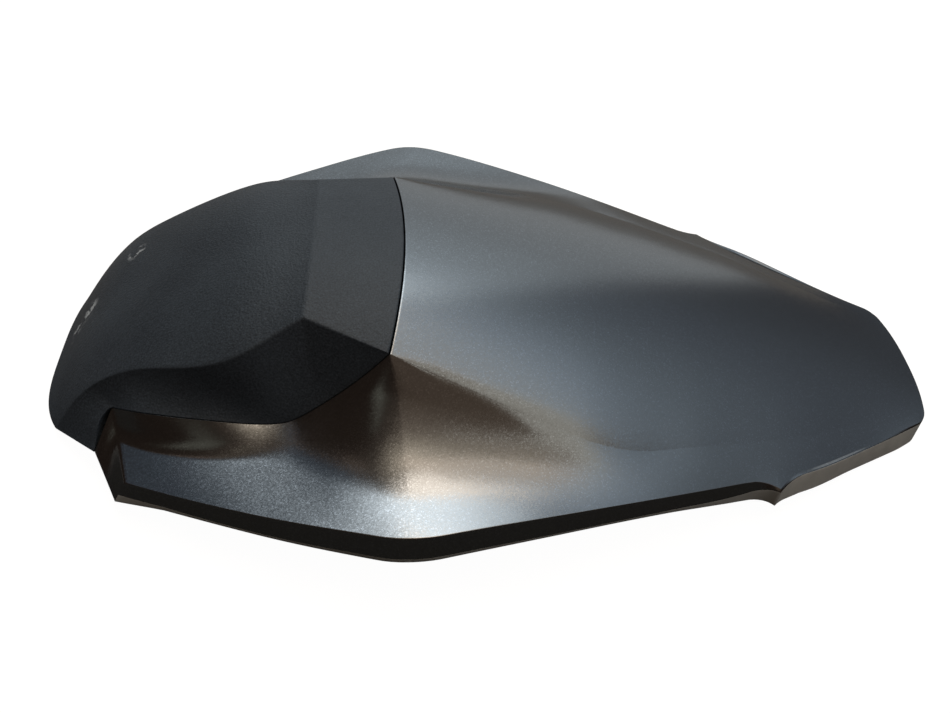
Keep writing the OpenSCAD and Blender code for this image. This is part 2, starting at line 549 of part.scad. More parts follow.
module base_pan() color("#1b1c1e") centred() difference() {
    union() {
        intersection() {
            pan_slab(0, pan_t);
            linear_extrude(height = wide_h + 20) pan_outline();
        }
        pan_ribs();
        for (p = shell_screw_at) each_side([p])
            translate([0, 0, pan_z(p[0]) - seat_dip])
                cylinder(d = seat_d, h = seat_top(p[0]) - pan_z(p[0]) + seat_dip, $fn = round_fn);
        translate([striker_back - block_len / 2, -block_w / 2, striker_z])
            cube([block_len, block_w, block_top - striker_z]);
        front_tongue();
    }
    for (p = shell_screw_at) each_side([p]) {
        translate([0, 0, pan_z(p[0]) - 10]) cylinder(d = screw_clear_d, h = 30, $fn = round_fn);
        translate([0, 0, pan_z(p[0]) - 10])
            cylinder(d = head_clear_d, h = 10 + head_top(p[0]) - pan_z(p[0]), $fn = round_fn);
    }
    for (p = damper_at) each_side([p]) on_pan(p[0])
        translate([0, 0, -5]) cylinder(d = damper_neck_d, h = 20, $fn = round_fn);
    bolt_holes();
}
// The tongue slides under a bracket on the frame: flat, with a rounded tip
module front_tongue() {
    tip_r = 6;
    tip_x = pan_front - tongue_len;
    tongue_y = tongue_w / 2;
    translate([0, 0, root_h - 1.2 - tongue_t]) linear_extrude(height = tongue_t) union() {
        translate([tip_x + tip_r, -tongue_y]) square([tongue_len - tip_r + 12, tongue_w]);
        for (s = [-1, 1])
            translate([tip_x + tip_r, s * (tongue_y - tip_r)]) circle(r = tip_r, $fn = round_fn);
        translate([tip_x, -tongue_y + tip_r]) square([tip_r, tongue_w - 2 * tip_r]);
    }
}
module on_pan(x) {
    translate([0, 0, pan_z(x)]) rotate([0, -pan_tilt(x), 0]) children();
}
module bolt_holes() {
    for (s = [-1, 1]) translate([striker_back, s * bolt_y, 0])
        cylinder(d = bolt_d + 2 * screw_gap, h = 2 * striker_z, $fn = round_fn);
}

module striker_plate() color("#8d9194") centred() difference() {
    translate([striker_back - plate_len / 2, -plate_w / 2, striker_z - plate_t])
        cube([plate_len, plate_w, plate_t]);
    bolt_holes();
}
// Bent rod, welded under the plate, that the seat lock closes on
module lock_striker() color("#9aa0a3") centred() {
    bend_r = striker_d;
    leg = striker_drop - striker_d / 2 - bend_r;
    bend_y = striker_span / 2 - bend_r;
    translate([striker_back, 0, striker_z - plate_t - leg]) {
        for (s = [-1, 1]) {
            translate([0, s * striker_span / 2, 0]) cylinder(d = striker_d, h = leg, $fn = round_fn);
            translate([0, s * bend_y, 0]) rotate([90, 0, 90]) rotate([0, 0, s > 0 ? -90 : 180])
                rotate_extrude(angle = 90, $fn = round_fn)
                    translate([bend_r, 0]) circle(d = striker_d, $fn = 32);
        }
        translate([0, 0, -bend_r]) rotate([90, 0, 0])
            cylinder(d = striker_d, h = 2 * bend_y, center = true, $fn = round_fn);
    }
}
module striker_bolts() color("#7d8184") centred() for (s = [-1, 1])
    translate([striker_back, s * bolt_y, striker_z - plate_t]) {
        translate([0, 0, -bolt_head_h]) cylinder(d = bolt_head_d / cos(30), h = bolt_head_h, $fn = 6);
        translate([0, 0, -eps])
            cylinder(d = bolt_d, h = block_top + nut_h + 2 - striker_z + plate_t, $fn = round_fn);
    }
module striker_nuts() color("#7d8184") centred() for (s = [-1, 1])
    translate([striker_back, s * bolt_y, block_top]) difference() {
        cylinder(d = bolt_head_d / cos(30), h = nut_h, $fn = 6);
        translate([0, 0, -1]) cylinder(d = bolt_d + 0.1, h = nut_h + 2, $fn = round_fn);
    }
module screw(z_head) {
    translate([0, 0, z_head - screw_head_h]) difference() {
        cylinder(d = screw_head_d, h = screw_head_h, $fn = round_fn);
        translate([0, 0, -1]) cylinder(d = screw_d * 0.75, h = 1 + screw_head_h * 0.6, $fn = 6);
    }
    translate([0, 0, z_head - eps]) cylinder(d = screw_d, h = screw_len - 3.5, $fn = round_fn);
}
module shell_screws() color("#4a4d50") centred()
    for (p = shell_screw_at) each_side([p]) screw(head_top(p[0]));
module pad_screws() color("#4a4d50") centred()
    for (p = pad_screw_at) each_side([p]) screw(pad_seat(p[0]));
module rubber_dampers() color("#161616") centred() for (p = damper_at) each_side([p]) on_pan(p[0]) {
    translate([0, 0, -damper_h])
        cylinder(d1 = damper_d * 0.85, d2 = damper_d, h = damper_h, $fn = round_fn);
    translate([0, 0, -eps]) cylinder(d = damper_neck_d - damper_neck_gap, h = pan_t + 0.4, $fn = round_fn);
    translate([0, 0, pan_t + 0.2])
        cylinder(d1 = damper_neck_d + 3, d2 = damper_neck_d, h = 3, $fn = round_fn);
}

painted_shell();
front_pad();
base_pan();
striker_plate();
lock_striker();
striker_bolts();
striker_nuts();
shell_screws();
pad_screws();
rubber_dampers();
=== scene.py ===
import math
import bpy
import bmesh
from mathutils import Matrix, Vector


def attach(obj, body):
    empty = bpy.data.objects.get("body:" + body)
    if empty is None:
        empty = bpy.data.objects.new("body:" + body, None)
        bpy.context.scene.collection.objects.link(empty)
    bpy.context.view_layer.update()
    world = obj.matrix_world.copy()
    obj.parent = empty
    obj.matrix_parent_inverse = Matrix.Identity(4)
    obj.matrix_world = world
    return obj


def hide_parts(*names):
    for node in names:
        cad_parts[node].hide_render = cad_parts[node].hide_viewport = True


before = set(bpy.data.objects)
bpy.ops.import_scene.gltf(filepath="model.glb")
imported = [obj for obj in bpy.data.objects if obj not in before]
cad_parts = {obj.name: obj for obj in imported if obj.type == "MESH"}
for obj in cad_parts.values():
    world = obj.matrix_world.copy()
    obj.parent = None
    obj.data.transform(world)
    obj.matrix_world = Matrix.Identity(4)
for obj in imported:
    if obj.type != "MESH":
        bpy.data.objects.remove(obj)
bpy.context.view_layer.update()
mm = 0.001


# Small helpers for numbers and for guides that pass through a few given points
def lerp(a, b, t):
    return a + (b - a) * t


def ease(t):
    s = min(1.0, max(0.0, t))
    return s * s * (3 - 2 * s)


def softMin(a, b, k):
    h = max(k - abs(a - b), 0) / k
    return min(a, b) - h * h * k / 4


def via(guide, x):
    x = min(max(x, guide[0][0]), guide[-1][0])
    chords = [(b[1] - a[1]) / (b[0] - a[0]) for a, b in zip(guide, guide[1:])]
    i = 0
    while i < len(guide) - 2 and x >= guide[i + 1][0]:
        i += 1
    tangents = [chords[max(0, i - 1)], chords[i], chords[min(len(chords) - 1, i + 1)]]
    start = chords[0] if i == 0 else (tangents[0] + tangents[1]) / 2
    end = chords[-1] if i == len(guide) - 2 else (tangents[1] + tangents[2]) / 2
    d = guide[i + 1][0] - guide[i][0]
    t = (x - guide[i][0]) / d
    u = 1 - t
    bend = d * (start * t * u * u - end * t * t * u)
    return guide[i][1] * u * u * (1 + 2 * t) + guide[i + 1][1] * t * t * (1 + 2 * u) + bend


# The driving sizes of shell and rider stop, in millimetres, with X counted from the wide corners towards the tail
shell = {
    "tipBack": 103.7, "tipWidth": 160.2, "tipHeight": 18.9,
    "wideWidth": 231.0, "wideHeight": 37.8, "cornerSoft": 6.0, "wingBow": 2.6, "sideBow": 1.5,
    "notchBack": 146.0, "notchWidth": 156.6, "notchHeight": 17.5, "notchFlare": 5.0, "notchDip": 1.4,
    "flareRun": 14.0, "notchSoft": 4.0,
    "tailBack": 228.5, "tailWidth": 68.0, "tailHeight": 8.9, "tailBow": 4.0, "tailArch": 0.7, "tailPower": 2.5,
    "wall": 2.5, "crownHeight": 68.8, "crownFore": 3.7, "crownStraight": 0.82, "archCurve": 1.9,
    "ridgeHeight": 62.5, "ridgeFall": 0.325, "ridgeSpread": 0.26, "ridgeLimit": 0.8, "ridgeSoft": 8.0,
    "bevelHeight": 8.2, "bevelOut": 3.1, "flangeHeight": 3.2, "flangeOut": 3.6,
    "tipLean": 4.7, "tipLeanRun": 15.0, "tailLean": 2.5, "tailLeanRun": 14.0,
}
stop = {
    "wall": 2.6, "noseFore": 150.6, "arcWidth": 106.4, "arcBow": 4.9,
    "bandWidth": 83.2, "bandLength": 35.3, "bandHeight": 71.8, "bandRow": 0.25,
    "peakWidth": 106.0, "peakHeight": 55.7,
    "jointWidth": 125.6, "jointHeight": 32.8, "jointTipWidth": 103.0, "jointTipHeight": 26.6, "jointTipFore": 9.0,
    "rootWidth": 124.6, "rootHeight": 12.6, "rootFore": 6.7, "chinWidth": 90.0, "chinBack": 10.6, "chinRise": 5.0,
    "seatStep": 3.5, "gap": 0.4, "bendRow": 0.8,
}
crownEnd = shell["tailBack"] + shell["tailBow"]
middleX = (crownEnd - stop["noseFore"]) / 2
wideY = shell["wideWidth"] / 2
notchY = shell["notchWidth"] / 2
tailY = shell["tailWidth"] / 2
tipBack, notchBack, tailBack = shell["tipBack"], shell["notchBack"], shell["tailBack"]


# Crease along the rim: half width and height at a distance x behind the wide corners. Lists of pairs are guides: a
# place and its value, with points that lie between named ones given as shares of them
def plainY(x):
    t = -x / tipBack
    wing = lerp(wideY, shell["tipWidth"] / 2, t) + 4 * shell["wingBow"] * t * (1 - t)
    slope = (notchY - shell["notchFlare"] - wideY) / notchBack
    side = wideY + slope * x + shell["sideBow"] * math.sin(math.pi * min(1, max(0, x / notchBack)))
    tailSlope = (tailY - notchY + shell["notchFlare"] / 2) / (tailBack - notchBack)
    after = notchY - shell["notchFlare"] / 2 + tailSlope * (x - notchBack)
    return softMin(softMin(wing, side, shell["cornerSoft"]), after, shell["notchSoft"])


def notchReach(x):
    return max(0, 1 - abs(x - notchBack) / shell["flareRun"]) ** 2


def rimY(x):
    return plainY(x) + (notchY - plainY(notchBack)) * notchReach(x)


notchTop = shell["notchHeight"] + shell["notchDip"]
rimHeights = [
    (-tipBack, shell["tipHeight"]), (-tipBack / 2, lerp(shell["wideHeight"], shell["tipHeight"], 0.47)),
    (-shell["cornerSoft"], shell["wideHeight"] - 0.9), (shell["cornerSoft"], shell["wideHeight"] - 0.5),
    (notchBack * 0.43, lerp(shell["wideHeight"], notchTop, 0.31)), (notchBack, notchTop),
    (lerp(notchBack, tailBack, 0.6), lerp(notchTop, shell["tailHeight"], 0.72)), (tailBack, shell["tailHeight"]),
]


def plainZ(x):
    return via(rimHeights, x)


def rimZ(x):
    return plainZ(x) - shell["notchDip"] * notchReach(x)


# The bevel and the plain flange below the crease
notchFore, notchAft = notchBack - shell["flareRun"], notchBack + shell["flareRun"]
bevelShares = [(-tipBack, 0.66), (0, 1), (notchBack * 0.67, 0.72), (notchFore, 0.55), (notchBack, 0.12),
               (tailBack, 0.08)]
runShares = [(-tipBack, 0.6), (0, 1), (notchBack * 0.67, 0.75), (notchFore, 0.6), (notchBack, 0.35),
             (notchAft, 0.6), (tailBack, 0.15)]
flangeShares = [(-tipBack, 0), (notchFore, 0), (notchBack, 0.2), (notchBack + 8, 0.8), (notchAft, 0.85),
                (lerp(notchBack, tailBack, 0.5), 0.6), (tailBack, 1)]
flangeKink = notchBack * 0.8
flangeHeights = [
    (-tipBack, shell["flangeHeight"] * 1.4), (-tipBack * 0.85, shell["flangeHeight"] * 0.8),
    (0, shell["flangeHeight"]), (flangeKink, shell["flangeHeight"] * 1.2),
    (flangeKink + 12, shell["flangeHeight"] * 1.6), (notchBack, shell["flangeHeight"] * 2.5),
    (lerp(notchBack, tailBack, 0.5), shell["flangeHeight"] * 2.9),
    (tailBack, shell["tailHeight"] - shell["bevelHeight"] * 0.08),
]


def bevelDrop(x):
    return shell["bevelHeight"] * via(bevelShares, x)


def bevelRun(x):
    return shell["bevelOut"] * via(runShares, x)


def flangeRun(x):
    return bevelRun(x) + shell["flangeOut"] * via(flangeShares, x)


def lowZ(x):
    return max(0, rimZ(x) - bevelDrop(x) - via(flangeHeights, x))


# Joint between rider stop and shell
arcX = -shell["crownFore"] - stop["arcBow"]
arcY = stop["arcWidth"] / 2
jointY = stop["jointWidth"] / 2
tipJointX = -tipBack - stop["jointTipFore"]
tipJointY = stop["jointTipWidth"] / 2
jointWidths = [
    (tipJointX, tipJointY), (tipJointX * 0.89, lerp(tipJointY, jointY, 0.51)), (-76, jointY - 0.8), (-60, jointY),
    (-45.3, jointY - 1), (-26.5, lerp(jointY, arcY, 0.64)), (arcX, arcY),
]
jointHigh, ridgeHigh = stop["jointHeight"], shell["ridgeHeight"]
jointHeights = [
    (tipJointX, stop["jointTipHeight"]), (tipJointX * 0.89, lerp(stop["jointTipHeight"], jointHigh, 0.71)),
    (-76, jointHigh + 0.5), (-50.4, jointHigh - 0.3), (-44.9, jointHigh + 0.5),
    (-35.6, lerp(jointHigh, ridgeHigh, 0.18)), (-26.5, lerp(jointHigh, ridgeHigh, 0.39)),
    (-17.4, lerp(jointHigh, ridgeHigh, 0.67)), (arcX, ridgeHigh),
]
ridgeEnd = crownEnd - shell["tailBow"] * 0.8 ** shell["tailPower"]


def innerEdge(r):
    if r <= 0:
        x = lerp(arcX, tipJointX, -r)
        return Vector((x, via(jointWidths, x), via(jointHeights, x)))
    x = lerp(arcX, ridgeEnd, r)
    y = softMin(arcY + shell["ridgeSpread"] * (x - arcX), shell["ridgeLimit"] * plainY(x), shell["ridgeSoft"])
    return Vector((x, y, ridgeHigh - shell["ridgeFall"] * (x - arcX)))


def rimX(r):
    return tipBack * r if r <= 0 else tailBack * r


def crownX(r):
    return lerp(-shell["crownFore"], crownEnd, r)


def crownZ(x):
    t = (x + shell["crownFore"]) / (crownEnd + shell["crownFore"])
    straight = shell["crownStraight"]
    return lerp(shell["crownHeight"], shell["tailHeight"] + shell["tailArch"], straight * t + (1 - straight) * t * t)


# Towards the tail, roof and flank blend into one arch
arch = {"start": 0.12, "run": 0.4}


def archZ(r, s):
    top = crownZ(crownX(r))
    return top - (top - plainZ(rimX(r))) * s ** shell["archCurve"]


def archShare(r):
    return 0 if r <= 0 else ease((r - arch["start"]) / arch["run"])


flankCurves = [(-1, 3.8), (-0.1, 3.3), (0, 3.2), (0.25, 2.4), (0.5, 1.4), (1, 1.2)]

# On the wings the flank falls steeply from the joint, turns in a fillet and ends as a nearly flat shelf
shelfStarts = [(-1, 0.44), (-0.7, 0.48), (-0.45, 0.47), (-0.3, 0.66), (-0.2, 0.78), (0, 0.88)]
shelfDips = [(-1, 0), (-0.75, 0.3), (-0.5, 1.5), (-0.3, 2.0), (-0.12, 0), (0, 0)]
shelf = {"fade": 0.3, "steep": 1.6, "fillet": 0.4, "tilt": 0.06}


def wingFall(r, w):
    start = via(shelfStarts, r)
    steep = 1 - shelf["steep"] * w / start
    return lerp(-softMin(-steep, 0, shelf["fillet"]), 1 - w, shelf["tilt"])


# The roof falls to the ridges in a curve, and roof and flank meet in a round that grows towards the tail
roofCurve = 2.2
ridgeRound = {"start": 3.0, "more": 5.0, "startRows": 0.08, "moreRows": 0.3}


def ridgeCut(r, a, y):
    if r <= 0:
        return 0
    x = rimX(r)
    roofSlope = roofCurve * (crownZ(crownX(r)) - a.z) / a.y
    kink = via(flankCurves, r) * (a.z - plainZ(x)) / (plainY(x) - a.y) - roofSlope
    near, far = ridgeRound["startRows"], ridgeRound["moreRows"]
    reach = ridgeRound["start"] * ease(r / near) + ridgeRound["more"] * ease((r - near) / far)
    away = abs(y - a.y)
    if away >= reach or kink <= 0:
        return 0
    return kink * reach / 4 * (1 - away / reach) ** 2


def flankPoint(r, w):
    a = innerEdge(r)
    x = rimX(r)
    plain = Vector((x, plainY(x), plainZ(x)))
    share = archShare(r)
    p = a.lerp(plain, w)
    flank = plain.z + (a.z - plain.z) * (1 - w) ** via(flankCurves, r)
    wing = ease(0.5 - r / shelf["fade"])
    if wing:
        dip = via(shelfDips, min(r, 0))
        low = plain.z - dip * (1 - w) + (a.z - plain.z + dip) * wingFall(min(r, 0), w)
        flank = lerp(flank, low, wing)
    flank -= ridgeCut(r, a, p.y)
    p.z = lerp(flank, archZ(r, p.y / plain.y) if share else 0, share)
    return p + (Vector((x, rimY(x), rimZ(x))) - plain) * w ** 4


# Rows near the wide corner are averaged, so that the flank turns softly between the sharp joint and the rim
flankTurn = {"rows": 0.1, "reach": 0.28, "steps": 6, "joint": 0.15, "rim": 0.3, "ends": 0.15, "centre": 1.05}


def softFlank(r, w):
    s = flankTurn["rows"] * ease(w / flankTurn["joint"]) * ease((1 - w) / flankTurn["rim"])
    s *= ease((flankTurn["reach"] - abs(r)) / flankTurn["ends"])
    if s < 0.001:
        return flankPoint(r, w)
    total, weights = Vector((0, 0, 0)), 0
    for n in range(-flankTurn["steps"], flankTurn["steps"] + 1):
        step = n / flankTurn["steps"]
        weight = flankTurn["centre"] - step * step
        total += flankPoint(r + step * s, w) * weight
        weights += weight
    return total / weights


# The shell's upper surface: rows r from the wing tips (-1) to the tail (1), columns c from the middle (0) over the
# joint or ridge (1) to the rim crease (2)
def skinPoint(r, c):
    a = innerEdge(r)
    if c >= 1:
        return softFlank(r, c - 1)
    if r < 0:
        bow = max(0, 1 + r * 8) * stop["arcBow"]
        return Vector((a.x + bow * (1 - c * c), a.y * c, a.z - stop["seatStep"]))
    crown = crownX(r)
    top = crownZ(crown)
    share = archShare(r)
    y = a.y * c
    roof = top - (top - a.z) * c ** roofCurve - ridgeCut(r, a, y)
    z = lerp(roof, archZ(r, y / plainY(rimX(r))) if share else 0, share)
    return Vector((lerp(crown, a.x, c ** lerp(2, shell["tailPower"], r)), y, z))


# The same surface moved inwards by t, for the inside of the wall: the steeper it lies, the further down it goes
wallInside = {"probe": 0.04, "steepest": 2.4, "tailThick": 1.8, "tailRows": 0.2, "arcRows": 0.1}


def fall(r, c):
    a, b = skinPoint(r, max(0, c - wallInside["probe"])), skinPoint(r, min(2, c + wallInside["probe"]))
    return abs(b.z - a.z) / max(0.1, b.y - a.y)


def tailIn(r, t):
    return wallInside["tailThick"] * t * ease((r - 1 + wallInside["tailRows"]) / wallInside["tailRows"])


def squeezeX(x, t):
    return x * (crownEnd - t) / crownEnd if x > 0 else x * (1 - t / tipBack)


def movedIn(r, c, t):
    p = skinPoint(r, c)
    if t == 0:
        return p
    a, reach = innerEdge(r), rimY(rimX(r))
    y = p.y * (reach - t) / reach
    slope = 0 if r < 0 and c < 1 else min(wallInside["steepest"], fall(r, c))
    z = p.z - t * math.sqrt(1 + slope * slope)
    if r < 0 and y < a.y + 1:
        z = min(z, a.z - stop["seatStep"] - t)
    arc = t * max(0, 1 - abs(r) / wallInside["arcRows"])
    return Vector((squeezeX(p.x, t) + arc - tailIn(r, t), y, z))


# Points below the border: level 1 ends the bevel, level 2 ends the flange
root = Vector((tipJointX - stop["rootFore"], stop["rootWidth"] / 2, stop["rootHeight"]))
footShare, footSlack, leastDrop, pullShare = 0.45, 0.8, 0.6, 0.4


def sideFoot(r, level, t=0):
    x = rimX(r)
    y, z, low = rimY(x), rimZ(x), lowZ(x)
    foot = x - shell["tipLean"] * max(0, 1 - (x + tipBack) / shell["tipLeanRun"])
    foot -= shell["tailLean"] * max(0, 1 - (tailBack - x) / shell["tailLeanRun"])
    drop = max(bevelDrop(x), t + leastDrop) if t > 0 else bevelDrop(x)
    pulled = pullShare * level * tailIn(r, t)
    if level == 2:
        return Vector((squeezeX(foot, t) - pulled, y + flangeRun(x) - t, low - footSlack * t))
    x = lerp(x, foot, min(1, drop / (z - low)))
    return Vector((squeezeX(x, t) - pulled, y + bevelRun(rimX(r)) - t, z - drop))


def rootFoot(share, t):
    return Vector((squeezeX(root.x, t), share * (root.y - t), root.z - footSlack * t))


def frontFoot(c, level, t=0):
    p, tip = movedIn(-1, c, t), sideFoot(-1, 2, t)
    low = rootFoot(c, t) if c < 1 else rootFoot(1, t).lerp(tip, c - 1)
    if level == 2:
        return low
    corner = movedIn(-1, 2, t).lerp(tip, footShare)
    return p.lerp(low, footShare) + (sideFoot(-1, 1, t) - corner) * ease(c - 1)


def rearFoot(c, level, t=0):
    p, q, s = movedIn(1, c, t), movedIn(1, 2, t), sideFoot(1, level, t)
    return Vector((p.x - q.x + s.x, p.y / q.y * s.y, s.z if level == 2 else p.z - q.z + s.z))


def borderFoot(r, c, level, t=0):
    if r == 1:
        return side(rearFoot(abs(c), level, t), c)
    if r == -1:
        return side(frontFoot(abs(c), level, t), c)
    return side(sideFoot(r, level, t), c)


# Grids of points: sampling, rounding of a crease, and the body made of a grid and what hangs below its border
def spread(low, high, count, power=1.0):
    return [lerp(low, high, (i / count) ** power) for i in range(count)]


def mirrored(half):
    return [-c for c in reversed(half[1:])] + half


def side(point, c):
    return Vector((point.x, -point.y if c < 0 else point.y, point.z))


def bezier(before, corner, after, reach, share=0.9):
    a = corner + (before - corner).normalized() * min(reach, (before - corner).length * share)
    b = corner + (after - corner).normalized() * min(reach, (after - corner).length * share)
    return [a.lerp(corner, t).lerp(corner.lerp(b, t), t) for t in (0, 0.25, 0.5, 0.75, 1)]


def softenColumn(grid, k, reach):
    for row in grid:
        row[k - 2:k + 3] = bezier(row[k - 3], row[k], row[k + 3], reach)


def softenRow(grid, k, reach):
    for j in range(len(grid[0])):
        made = bezier(grid[k - 3][j], grid[k][j], grid[k + 3][j], reach)
        for n in range(5):
            grid[k - 2 + n][j] = made[n]


def ringOf(grid):
    n, m = len(grid), len(grid[0])
    left = [(i, 0) for i in range(n)]
    rear = [(n - 1, j) for j in range(1, m)]
    right = [(i, m - 1) for i in range(n - 2, -1, -1)]
    front = [(0, j) for j in range(m - 2, 0, -1)]
    return left + rear + right + front


def inward(grid, i, j):
    n, m = len(grid), len(grid[0])
    return grid[min(max(i, 1), n - 2)][min(max(j, 1), m - 2)]


def addMesh(name, points, faces, materials, slots):
    mesh = bpy.data.meshes.new(name)
    mesh.from_pydata([(p - Vector((middleX, 0, 0))) * mm for p in points], [], faces)
    for material in materials:
        mesh.materials.append(material)
    mesh.polygons.foreach_set("material_index", slots)
    mesh.polygons.foreach_set("use_smooth", [True] * len(faces))
    shape = bmesh.new()
    shape.from_mesh(mesh)
    bmesh.ops.recalc_face_normals(shape, faces=shape.faces[:])
    shape.to_mesh(mesh)
    shape.free()
    piece = bpy.data.objects.new(name, mesh)
    bpy.context.scene.collection.objects.link(piece)
    return piece


def hangingBody(name, grid, layers, materials, layerSlots, inside):
    n, m = len(grid), len(grid[0])
    points = [p for row in grid for p in row]
    cells = [(i * m + j, (i + 1) * m + j, (i + 1) * m + j + 1, i * m + j + 1)
             for i in range(n - 1) for j in range(m - 1)]
    faces = list(cells)
    slots = [0] * len(faces)
    border = ringOf(grid)
    last = [i * m + j for i, j in border]
    start = len(points)
    points += [p for row in inside for p in row]
    loops = []
    for layer in layers:
        loops.append(list(range(len(points), len(points) + len(layer))))
        points += layer
    loops.append([start + i * m + j for i, j in border])
    for these, slot in zip(loops, layerSlots + [layerSlots[-1]]):
        for q in range(len(last)):
            k = (q + 1) % len(last)
            faces.append((last[q], these[q], these[k], last[k]))
            slots.append(0 if border[q][0] == border[k][0] == 0 else slot)
        last = these
    faces += [tuple(start + v for v in reversed(cell)) for cell in cells]
    slots += [layerSlots[-1]] * len(cells)
    return addMesh(name, points, faces, materials, slots)


# Round the corner of a loop in plan: points near the corner leave its two straight edges for an arc
def roundCorner(points, corner, alongSide, alongEnd, reach):
    e, f = alongSide.to_2d().normalized(), alongEnd.to_2d().normalized()
    det = e.x * f.y - e.y * f.x
    for p in points:
        q = (p - corner).to_2d()
        a = max(0, (q.x * f.y - q.y * f.x) / det)
        b = max(0, (e.x * q.y - e.y * q.x) / det)
        deep = min(a, b)
        u, v = a - deep, b - deep
        if max(u, v) >= reach or deep >= reach:
            continue
        t = 0.5 + (v - u) / (2 * reach)
        fade = (1 - deep / reach) ** 2
        shift = e * ((1 - t) ** 2 * reach - u) + f * (t * t * reach - v)
        p.x += shift.x * fade
        p.y += shift.y * fade


# Painted shell: smooth outer sheet with rounded creases, bevel and flange, then the inside of its wall. A lofted shape
# like this is laid out point by point: rows along the cowl, columns across it, closer where the surface turns
joint = {"step": 0.003, "reach": 0.55}
ridge = {"reach": 1.1}
rim = {"reach": 1.3, "bevelFoot": 0.7, "share": 0.42, "lip": 0.5, "tailCorner": 5.5}
shellGrid = {
    "wingRows": 44, "bodyRows": 44, "tailRows": 24, "topColumns": 22, "flankColumns": 38,
    "notchPlaces": [-11, -8.5, -6.5, -5, -3.5, -2.2, -1, 0, 1, 2.2, 3.5, 5, 6.5, 9, 12],
    "tailPlaces": [0.978, 0.983, 0.987, 0.99, 0.993, 0.9955, 0.998, 1.0], "rimPlaces": [1.985, 1.992, 2.0],
}


def creased(before, crease, after):
    return before + [crease] * 5 + after


def paintedShell(materials):
    wingCount, tailPlaces = shellGrid["wingRows"], shellGrid["tailPlaces"]
    wing = [-(i / wingCount) ** 0.9 for i in range(wingCount, 0, -1)]
    body = spread(0.004, (notchFore + 1) / tailBack, shellGrid["bodyRows"], 1.1)
    body += [(notchBack + d) / tailBack for d in shellGrid["notchPlaces"]]
    body += spread((notchAft + 2) / tailBack, tailPlaces[0], shellGrid["tailRows"]) + tailPlaces
    rows = creased([r for r in wing if r < -2 * joint["step"]] + [-joint["step"]], 0.0, body)
    top = spread(0, 0.97, shellGrid["topColumns"]) + [0.97, 1 - joint["step"]]
    flank = [1 + t for t in spread(0.004, 0.985, shellGrid["flankColumns"], 1.25)] + shellGrid["rimPlaces"]
    half = creased(top, 1.0, flank)
    columns = mirrored(half)
    grid = [[side(skinPoint(r, abs(c)), c) for c in columns] for r in rows]
    middle = len(half) - 1
    crease = half.index(1.0) + 2
    arc = rows.index(0.0) + 2
    for k in (middle + crease, middle - crease):
        softenColumn(grid, k, ridge["reach"])
    for i in range(arc - 2):
        for k in (middle + crease, middle - crease):
            edge = grid[i]
            corner = side(skinPoint(rows[i], 1.0), 1 if k > middle else -1)
            outer = edge[k + 3] if k > middle else edge[k - 3]
            inner = edge[k - 3] if k > middle else edge[k + 3]
            made = bezier(inner, corner, outer, joint["reach"])
            edge[k - 2:k + 3] = made if k > middle else made[::-1]
    softenRow(grid, arc, joint["reach"])
    ring = ringOf(grid)
    crest = [grid[i][j].copy() for i, j in ring]
    bevel = [borderFoot(rows[i], columns[j], 1) for i, j in ring]
    foot = [borderFoot(rows[i], columns[j], 2) for i, j in ring]
    innerFoot = [borderFoot(rows[i], columns[j], 2, shell["wall"]) for i, j in ring]
    innerFoot = [Vector((p.x, p.y, f.z)) for p, f in zip(innerFoot, foot)]
    inside = [[side(movedIn(r, abs(c), shell["wall"]), c) for c in columns] for r in rows]
    n, m = len(rows), len(columns)
    for q, (i, j) in enumerate(ring):
        if i == n - 1 and j in (0, m - 1):
            near = m - 4 if j else 3
            alongSide, alongEnd = grid[n - 6][j] - grid[i][j], grid[i][near] - grid[i][j]
            outer = [p for row in grid for p in row] + crest
            roundCorner(outer, crest[q].copy(), alongSide, alongEnd, rim["tailCorner"])
            for loop in (bevel, foot, innerFoot):
                roundCorner(loop, loop[q].copy(), alongSide, alongEnd, rim["tailCorner"])
    inner = [inward(grid, i, j) for i, j in ring]
    rounds = [bezier(a, p, b, rim["reach"], rim["share"]) for a, p, b in zip(inner, crest, bevel)]
    for (i, j), made in zip(ring, rounds):
        grid[i][j] = made[0]
    lower = [bezier(p, b, f, rim["bevelFoot"], rim["share"]) for p, b, f in zip(crest, bevel, foot)]
    lip = [bezier(b, f, g, rim["lip"], rim["share"]) for b, f, g in zip(bevel, foot, innerFoot)]
    layers = [[made[n] for made in rounds] for n in (1, 2, 3, 4)]
    layers.append([a[4].lerp(b[0], 0.5) for a, b in zip(rounds, lower)])
    layers += [[made[n] for made in lower] for n in (0, 1, 2, 3, 4)]
    layers.append([a[4].lerp(b[0], 0.5) for a, b in zip(lower, lip)])
    layers += [[made[n] for made in lip] for n in (0, 1, 2, 3, 4)]
    layers.append(innerFoot)
    painted = 8  # layers down to the foot of the bevel, the rest is plain plastic
    slots = [0] * painted + [1] * (len(layers) - painted)
    return hangingBody("paintedShell", grid, layers, materials, slots, inside)


